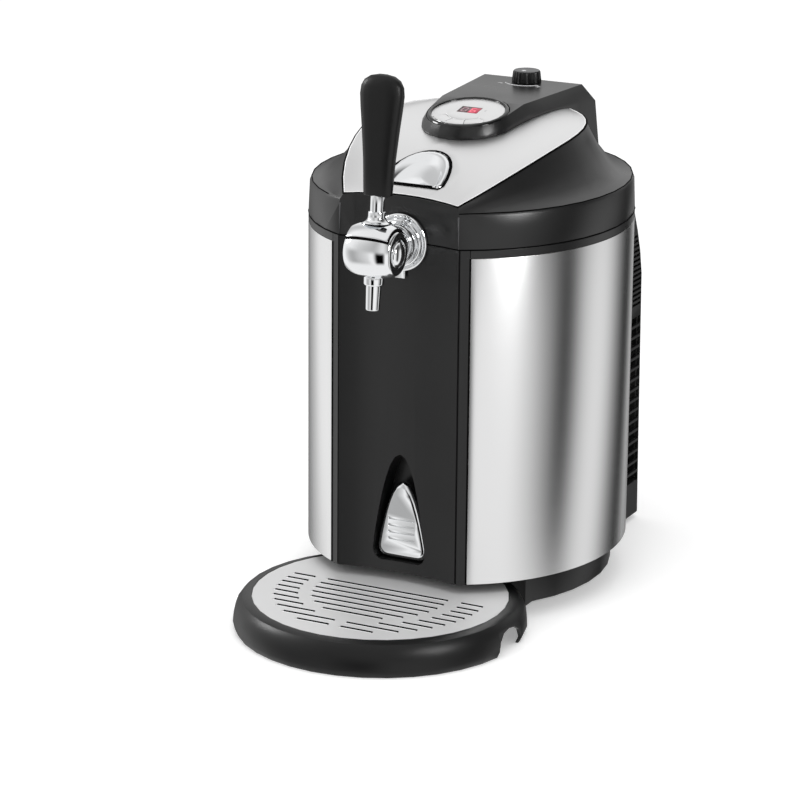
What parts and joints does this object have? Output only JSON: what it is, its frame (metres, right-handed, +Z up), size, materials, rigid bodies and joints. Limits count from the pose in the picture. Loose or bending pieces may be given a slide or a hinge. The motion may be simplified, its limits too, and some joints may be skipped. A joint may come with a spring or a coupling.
{
  "type": "keg beer dispenser",
  "caption": "Table-top chilled keg dispenser: oval brushed steel body, hinged lid with controls and gas regulator, lever tap, drip tray and vented cooler housing.",
  "frame": {"origin": "centre of the whole footprint on the table, tray and rear housing included", "axes": "+Z up, -Y towards the tap and tray, +X to the right seen from the front"},
  "size_m": [0.275, 0.495, 0.475],
  "materials": {
    "black_plastic": "satin, fine grain",
    "gloss_black": "gloss",
    "brushed_steel": "brushed",
    "silver_paint": "satin silver",
    "chrome": "polished",
    "rubber": "matte",
    "foam": "closed foam",
    "aluminium": "plain",
    "circuit_board": "solder mask",
    "window": "smoked gloss",
    "white_plastic": "satin",
    "ceramic": "plain",
    "brass": "turned",
    "plain_steel": "plain"
  },
  "bodies": {
    "cabinet": {"base": "black_plastic", "foot_front_left": "rubber", "foot_front_right": "rubber", "foot_rear_left": "rubber", "foot_rear_right": "rubber", "floor_pan": "black_plastic", "steel_panel_left": "brushed_steel", "steel_panel_right": "brushed_steel", "front_panel": "black_plastic", "rim_frame": "black_plastic", "rear_housing": "black_plastic", "keg_well": "aluminium", "insulation": "foam", "cold_plate": "aluminium", "peltier_module": "ceramic", "heat_sink": "aluminium", "fan_frame": "black_plastic", "power_board": "circuit_board", "mains_inlet": "black_plastic", "switch_body": "black_plastic", "hinge_pin": "plain_steel", "tap_flange": "chrome", "tap_shank": "chrome", "shank_nut": "brass", "tap_body": "chrome", "tap_spout": "chrome", "tap_cap_left": "chrome", "tap_cap_right": "chrome"},
    "fan": {"fan_rotor": "black_plastic"},
    "mains_switch": {"mains_switch": "gloss_black"},
    "tray_catch": {"tray_catch": "chrome"},
    "drip_tray": {"drip_tray": "black_plastic"},
    "drip_grid": {"drip_grid": "brushed_steel"},
    "lid": {"lid_shell": "black_plastic", "lid_plate": "silver_paint", "lid_liner": "white_plastic", "lid_gasket": "rubber", "latch_hook": "black_plastic", "release_spring": "plain_steel", "control_housing": "black_plastic", "control_bezel": "gloss_black", "control_disc": "silver_paint", "display_window": "window", "control_board": "circuit_board", "regulator_body": "brass", "gas_cartridge": "plain_steel", "cartridge_sleeve": "black_plastic", "gas_pipe": "plain_steel", "keg_coupler": "black_plastic"},
    "release_button": {"release_button": "chrome"},
    "button_down": {"button_down": "silver_paint"},
    "button_light": {"button_light": "silver_paint"},
    "button_up": {"button_up": "silver_paint"},
    "pressure_knob": {"pressure_knob": "black_plastic"},
    "tap_lever": {"lever_hub": "chrome", "lever_stem": "chrome", "tap_handle": "black_plastic", "tap_core": "brass"}
  },
  "joints": [
    {"name": "lid_hinge", "type": "hinge", "parent": "cabinet", "child": "lid", "pos_m": [0, 0.2085, 0.326], "axis": [-1, 0, 0], "range_deg": [0, 82]},
    {"name": "tap_pivot", "type": "hinge", "parent": "cabinet", "child": "tap_lever", "pos_m": [0, -0.1361, 0.33], "axis": [1, 0, 0], "range_deg": [0, 40]},
    {"name": "fan_spin", "type": "hinge", "parent": "cabinet", "child": "fan", "pos_m": [0, 0.2, 0.168], "axis": [0, 1, 0], "continuous": true},
    {"name": "switch_rock", "type": "hinge", "parent": "cabinet", "child": "mains_switch", "pos_m": [0.008, 0.24292, 0.062], "axis": [1, 0, 0], "range_deg": [-10, 10]},
    {"name": "catch_push", "type": "slide", "parent": "cabinet", "child": "tray_catch", "axis": [0, 1, 0], "range_m": [0, 0.003], "stiffness_N_per_m": 400},
    {"name": "tray_slide", "type": "slide", "parent": "cabinet", "child": "drip_tray", "axis": [0, -1, 0], "range_m": [0, 0.05]},
    {"name": "grid_lift", "type": "slide", "parent": "drip_tray", "child": "drip_grid", "axis": [0, 0, 1], "range_m": [0, 0.008]},
    {"name": "release_push", "type": "slide", "parent": "lid", "child": "release_button", "axis": [0, 0, -1], "range_m": [0, 0.004], "stiffness_N_per_m": 500, "deforming": ["release_spring"]},
    {"name": "button_down_push", "type": "slide", "parent": "lid", "child": "button_down", "axis": [0, 0.1702, -0.9854], "range_m": [0, 0.0006], "stiffness_N_per_m": 300},
    {"name": "button_light_push", "type": "slide", "parent": "lid", "child": "button_light", "axis": [0, 0.1702, -0.9854], "range_m": [0, 0.0006], "stiffness_N_per_m": 300},
    {"name": "button_up_push", "type": "slide", "parent": "lid", "child": "button_up", "axis": [0, 0.1702, -0.9854], "range_m": [0, 0.0006], "stiffness_N_per_m": 300},
    {"name": "pressure_turn", "type": "hinge", "parent": "lid", "child": "pressure_knob", "pos_m": [0, 0.1555, 0.42], "axis": [0, 0, 1], "range_deg": [0, 270]}
  ]
}
